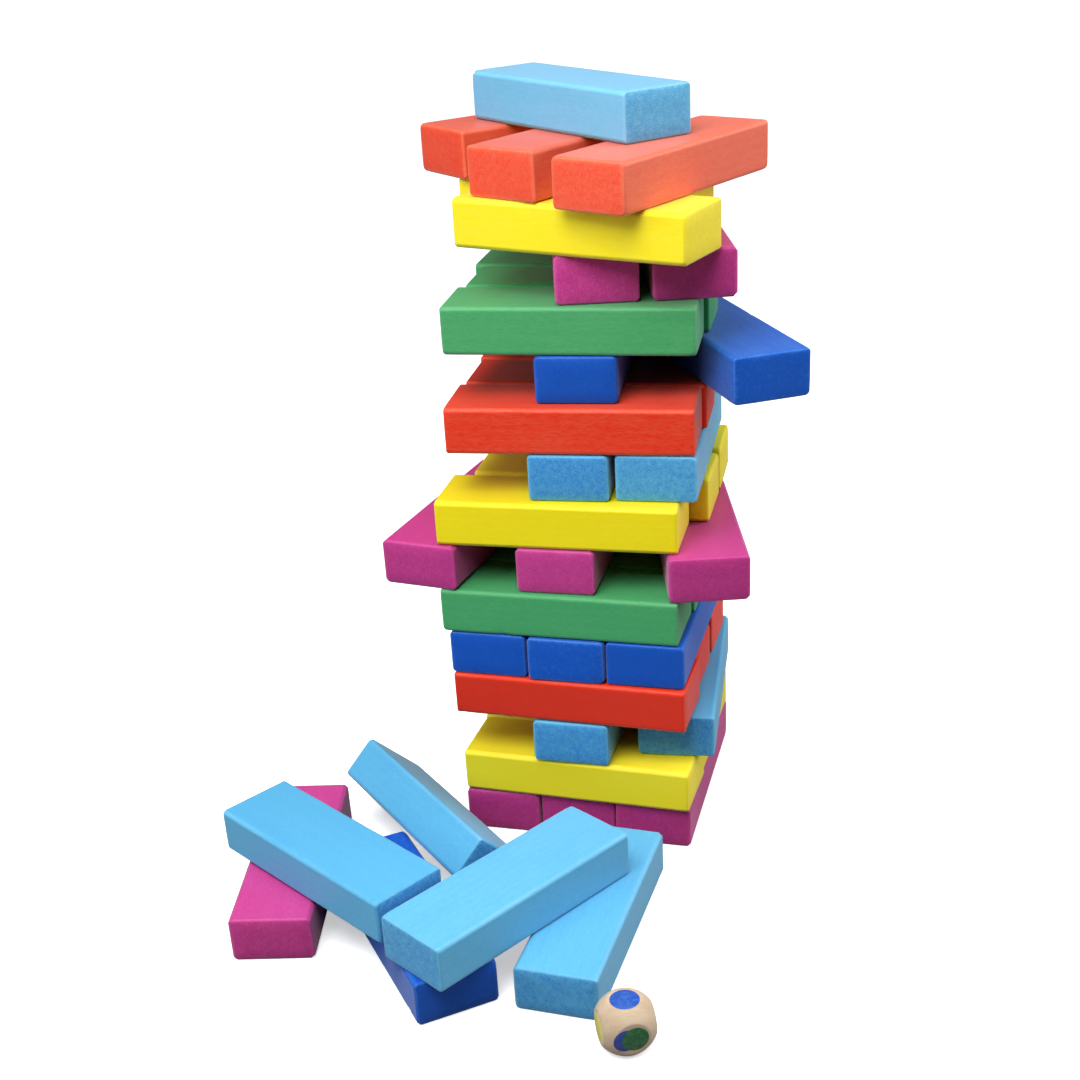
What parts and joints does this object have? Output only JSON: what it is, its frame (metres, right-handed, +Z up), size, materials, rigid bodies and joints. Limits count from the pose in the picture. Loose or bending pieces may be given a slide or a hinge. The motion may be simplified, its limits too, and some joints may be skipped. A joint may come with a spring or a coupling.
{
  "type": "tumbling tower game",
  "caption": "Stacking tower of coloured wooden blocks part way through a game, with drawn blocks and a colour die in front. Every block slides out on its own.",
  "frame": {"origin": "middle of the underside of the centre block of the bottom layer, on the surface that the tower stands on", "axes": "+X to the right, +Y to the back of the tower, +Z up"},
  "size_m": [0.1711, 0.2212, 0.2319],
  "materials": {
    "purple_paint": "satin stained and lacquered beech",
    "yellow_paint": "satin stained and lacquered beech",
    "light_blue_paint": "satin stained and lacquered beech",
    "red_paint": "satin stained and lacquered beech",
    "blue_paint": "satin stained and lacquered beech",
    "green_paint": "satin stained and lacquered beech",
    "bare_wood": "sanded bare beech"
  },
  "bodies": {
    "layer01_purple_left": {"layer01_purple_left": "purple_paint"},
    "layer01_purple_centre": {"layer01_purple_centre": "purple_paint"},
    "layer01_purple_right": {"layer01_purple_right": "purple_paint"},
    "layer02_yellow_front": {"layer02_yellow_front": "yellow_paint"},
    "layer02_yellow_middle": {"layer02_yellow_middle": "yellow_paint"},
    "layer02_yellow_back": {"layer02_yellow_back": "yellow_paint"},
    "layer03_light_blue_centre": {"layer03_light_blue_centre": "light_blue_paint"},
    "layer03_light_blue_right": {"layer03_light_blue_right": "light_blue_paint"},
    "layer04_red_front": {"layer04_red_front": "red_paint"},
    "layer04_red_middle": {"layer04_red_middle": "red_paint"},
    "layer04_red_back": {"layer04_red_back": "red_paint"},
    "layer05_blue_left": {"layer05_blue_left": "blue_paint"},
    "layer05_blue_centre": {"layer05_blue_centre": "blue_paint"},
    "layer05_blue_right": {"layer05_blue_right": "blue_paint"},
    "layer06_green_front": {"layer06_green_front": "green_paint"},
    "layer06_green_middle": {"layer06_green_middle": "green_paint"},
    "layer06_green_back": {"layer06_green_back": "green_paint"},
    "layer07_purple_left": {"layer07_purple_left": "purple_paint"},
    "layer07_purple_centre": {"layer07_purple_centre": "purple_paint"},
    "layer07_purple_right": {"layer07_purple_right": "purple_paint"},
    "layer08_yellow_front": {"layer08_yellow_front": "yellow_paint"},
    "layer08_yellow_middle": {"layer08_yellow_middle": "yellow_paint"},
    "layer08_yellow_back": {"layer08_yellow_back": "yellow_paint"},
    "layer09_light_blue_centre": {"layer09_light_blue_centre": "light_blue_paint"},
    "layer09_light_blue_right": {"layer09_light_blue_right": "light_blue_paint"},
    "layer10_red_front": {"layer10_red_front": "red_paint"},
    "layer10_red_middle": {"layer10_red_middle": "red_paint"},
    "layer10_red_back": {"layer10_red_back": "red_paint"},
    "layer11_blue_centre": {"layer11_blue_centre": "blue_paint"},
    "layer11_blue_right": {"layer11_blue_right": "blue_paint"},
    "layer12_green_front": {"layer12_green_front": "green_paint"},
    "layer12_green_middle": {"layer12_green_middle": "green_paint"},
    "layer12_green_back": {"layer12_green_back": "green_paint"},
    "layer13_purple_centre": {"layer13_purple_centre": "purple_paint"},
    "layer13_purple_right": {"layer13_purple_right": "purple_paint"},
    "layer14_yellow_front": {"layer14_yellow_front": "yellow_paint"},
    "layer14_yellow_middle": {"layer14_yellow_middle": "yellow_paint"},
    "layer14_yellow_back": {"layer14_yellow_back": "yellow_paint"},
    "layer15_red_left": {"layer15_red_left": "red_paint"},
    "layer15_red_centre": {"layer15_red_centre": "red_paint"},
    "layer15_red_right": {"layer15_red_right": "red_paint"},
    "layer16_light_blue_top": {"layer16_light_blue_top": "light_blue_paint"},
    "loose_purple_floor": {"loose_purple_floor": "purple_paint"},
    "loose_blue_floor": {"loose_blue_floor": "blue_paint"},
    "loose_light_blue_floor": {"loose_light_blue_floor": "light_blue_paint"},
    "loose_light_blue_left": {"loose_light_blue_left": "light_blue_paint"},
    "loose_light_blue_right": {"loose_light_blue_right": "light_blue_paint"},
    "loose_light_blue_leaning": {"loose_light_blue_leaning": "light_blue_paint"},
    "colour_die": {"colour_die": "bare_wood"}
  },
  "joints": [
    {"name": "draw_layer01_purple_left", "type": "slide", "parent": "layer01_purple_centre", "child": "layer01_purple_left", "axis": [0, 1, 0], "range_m": [0, 0.08]},
    {"name": "draw_layer01_purple_right", "type": "slide", "parent": "layer01_purple_centre", "child": "layer01_purple_right", "axis": [0, 1, 0], "range_m": [0, 0.08]},
    {"name": "draw_layer02_yellow_front", "type": "slide", "parent": "layer01_purple_centre", "child": "layer02_yellow_front", "axis": [0.9994, -0.0349, 0], "range_m": [0, 0.08]},
    {"name": "draw_layer02_yellow_middle", "type": "slide", "parent": "layer01_purple_centre", "child": "layer02_yellow_middle", "axis": [0.9997, -0.0262, 0], "range_m": [0, 0.08]},
    {"name": "draw_layer02_yellow_back", "type": "slide", "parent": "layer01_purple_centre", "child": "layer02_yellow_back", "axis": [0.9998, -0.0175, 0], "range_m": [0, 0.08]},
    {"name": "draw_layer03_light_blue_centre", "type": "slide", "parent": "layer01_purple_centre", "child": "layer03_light_blue_centre", "axis": [0, -1, 0], "range_m": [0, 0.08]},
    {"name": "draw_layer03_light_blue_right", "type": "slide", "parent": "layer01_purple_centre", "child": "layer03_light_blue_right", "axis": [0.0958, -0.9954, 0], "range_m": [0, 0.08]},
    {"name": "draw_layer04_red_front", "type": "slide", "parent": "layer01_purple_centre", "child": "layer04_red_front", "axis": [0.9997, -0.0262, 0], "range_m": [0, 0.08]},
    {"name": "draw_layer04_red_middle", "type": "slide", "parent": "layer01_purple_centre", "child": "layer04_red_middle", "axis": [0.9998, -0.0175, 0], "range_m": [0, 0.08]},
    {"name": "draw_layer04_red_back", "type": "slide", "parent": "layer01_purple_centre", "child": "layer04_red_back", "axis": [1, 0, 0], "range_m": [0, 0.08]},
    {"name": "draw_layer05_blue_left", "type": "slide", "parent": "layer01_purple_centre", "child": "layer05_blue_left", "axis": [-0.0087, -1, 0], "range_m": [0, 0.08]},
    {"name": "draw_layer05_blue_centre", "type": "slide", "parent": "layer01_purple_centre", "child": "layer05_blue_centre", "axis": [0, -1, 0], "range_m": [0, 0.08]},
    {"name": "draw_layer05_blue_right", "type": "slide", "parent": "layer01_purple_centre", "child": "layer05_blue_right", "axis": [0, -1, 0], "range_m": [0, 0.08]},
    {"name": "draw_layer06_green_front", "type": "slide", "parent": "layer01_purple_centre", "child": "layer06_green_front", "axis": [1, 0, 0], "range_m": [0, 0.08]},
    {"name": "draw_layer06_green_middle", "type": "slide", "parent": "layer01_purple_centre", "child": "layer06_green_middle", "axis": [1, 0, 0], "range_m": [0, 0.08]},
    {"name": "draw_layer06_green_back", "type": "slide", "parent": "layer01_purple_centre", "child": "layer06_green_back", "axis": [1, 0.0087, 0], "range_m": [0, 0.08]},
    {"name": "draw_layer07_purple_left", "type": "slide", "parent": "layer01_purple_centre", "child": "layer07_purple_left", "axis": [-0.1305, -0.9914, 0], "range_m": [0, 0.08]},
    {"name": "draw_layer07_purple_centre", "type": "slide", "parent": "layer01_purple_centre", "child": "layer07_purple_centre", "axis": [0.0262, -0.9997, 0], "range_m": [0, 0.08]},
    {"name": "draw_layer07_purple_right", "type": "slide", "parent": "layer01_purple_centre", "child": "layer07_purple_right", "axis": [0.2756, -0.9613, 0], "range_m": [0, 0.08]},
    {"name": "draw_layer08_yellow_front", "type": "slide", "parent": "layer01_purple_centre", "child": "layer08_yellow_front", "axis": [0.9994, 0.0349, 0], "range_m": [0, 0.08]},
    {"name": "draw_layer08_yellow_middle", "type": "slide", "parent": "layer01_purple_centre", "child": "layer08_yellow_middle", "axis": [0.9994, 0.0349, 0], "range_m": [0, 0.08]},
    {"name": "draw_layer08_yellow_back", "type": "slide", "parent": "layer01_purple_centre", "child": "layer08_yellow_back", "axis": [0.9986, 0.0523, 0], "range_m": [0, 0.08]},
    {"name": "draw_layer09_light_blue_centre", "type": "slide", "parent": "layer01_purple_centre", "child": "layer09_light_blue_centre", "axis": [0.0785, -0.9969, 0], "range_m": [0, 0.08]},
    {"name": "draw_layer09_light_blue_right", "type": "slide", "parent": "layer01_purple_centre", "child": "layer09_light_blue_right", "axis": [0.061, -0.9981, 0], "range_m": [0, 0.08]},
    {"name": "draw_layer10_red_front", "type": "slide", "parent": "layer01_purple_centre", "child": "layer10_red_front", "axis": [-0.9962, -0.0872, 0], "range_m": [0, 0.08]},
    {"name": "draw_layer10_red_middle", "type": "slide", "parent": "layer01_purple_centre", "child": "layer10_red_middle", "axis": [-0.9976, -0.0698, 0], "range_m": [0, 0.08]},
    {"name": "draw_layer10_red_back", "type": "slide", "parent": "layer01_purple_centre", "child": "layer10_red_back", "axis": [-0.9981, -0.061, 0], "range_m": [0, 0.08]},
    {"name": "draw_layer11_blue_centre", "type": "slide", "parent": "layer01_purple_centre", "child": "layer11_blue_centre", "axis": [0.1045, -0.9945, 0], "range_m": [0, 0.08]},
    {"name": "draw_layer11_blue_right", "type": "slide", "parent": "layer01_purple_centre", "child": "layer11_blue_right", "axis": [0.5299, -0.848, 0], "range_m": [0, 0.08]},
    {"name": "draw_layer12_green_front", "type": "slide", "parent": "layer01_purple_centre", "child": "layer12_green_front", "axis": [-0.9969, -0.0785, 0], "range_m": [0, 0.08]},
    {"name": "draw_layer12_green_middle", "type": "slide", "parent": "layer01_purple_centre", "child": "layer12_green_middle", "axis": [-0.9981, -0.061, 0], "range_m": [0, 0.08]},
    {"name": "draw_layer12_green_back", "type": "slide", "parent": "layer01_purple_centre", "child": "layer12_green_back", "axis": [-0.999, -0.0436, 0], "range_m": [0, 0.08]},
    {"name": "draw_layer13_purple_centre", "type": "slide", "parent": "layer01_purple_centre", "child": "layer13_purple_centre", "axis": [0.2672, -0.9636, 0], "range_m": [0, 0.08]},
    {"name": "draw_layer13_purple_right", "type": "slide", "parent": "layer01_purple_centre", "child": "layer13_purple_right", "axis": [0.3007, -0.9537, 0], "range_m": [0, 0.08]},
    {"name": "draw_layer14_yellow_front", "type": "slide", "parent": "layer01_purple_centre", "child": "layer14_yellow_front", "axis": [0.9659, -0.2588, 0], "range_m": [0, 0.08]},
    {"name": "draw_layer14_yellow_middle", "type": "slide", "parent": "layer01_purple_centre", "child": "layer14_yellow_middle", "axis": [0.9659, -0.2588, 0], "range_m": [0, 0.08]},
    {"name": "draw_layer14_yellow_back", "type": "slide", "parent": "layer01_purple_centre", "child": "layer14_yellow_back", "axis": [0.9659, -0.2588, 0], "range_m": [0, 0.08]},
    {"name": "draw_layer15_red_left", "type": "slide", "parent": "layer01_purple_centre", "child": "layer15_red_left", "axis": [-0.6361, -0.7716, 0], "range_m": [0, 0.08]},
    {"name": "draw_layer15_red_centre", "type": "slide", "parent": "layer01_purple_centre", "child": "layer15_red_centre", "axis": [-0.3987, -0.9171, 0], "range_m": [0, 0.08]},
    {"name": "draw_layer15_red_right", "type": "slide", "parent": "layer01_purple_centre", "child": "layer15_red_right", "axis": [-0.3907, -0.9205, 0], "range_m": [0, 0.08]},
    {"name": "lift_layer16_light_blue_top", "type": "slide", "parent": "layer01_purple_centre", "child": "layer16_light_blue_top", "axis": [0, 0, 1], "range_m": [0, 0.05]},
    {"name": "slide_loose_purple_floor", "type": "slide", "parent": "layer01_purple_centre", "child": "loose_purple_floor", "axis": [0.2164, -0.9763, 0], "range_m": [0, 0.08]},
    {"name": "slide_loose_blue_floor", "type": "slide", "parent": "layer01_purple_centre", "child": "loose_blue_floor", "axis": [-0.6293, 0.7771, 0], "range_m": [-0.08, 0]},
    {"name": "slide_loose_light_blue_floor", "type": "slide", "parent": "layer01_purple_centre", "child": "loose_light_blue_floor", "axis": [-0.0523, -0.9986, 0], "range_m": [0, 0.08]},
    {"name": "slide_loose_light_blue_left", "type": "slide", "parent": "layer01_purple_centre", "child": "loose_light_blue_left", "axis": [-0.8616, 0.5075, 0], "range_m": [0, 0.08]},
    {"name": "slide_loose_light_blue_right", "type": "slide", "parent": "layer01_purple_centre", "child": "loose_light_blue_right", "axis": [-0.515, -0.8572, 0], "range_m": [0, 0.08]},
    {"name": "tip_loose_light_blue_leaning", "type": "hinge", "parent": "layer01_purple_centre", "child": "loose_light_blue_leaning", "pos_m": [-0.04, -0.0535, 0], "axis": [-0.7254, 0.6884, 0], "range_deg": [0, 15]},
    {"name": "lift_colour_die", "type": "slide", "parent": "layer01_purple_centre", "child": "colour_die", "axis": [0, 0, 1], "range_m": [0, 0.05]}
  ]
}
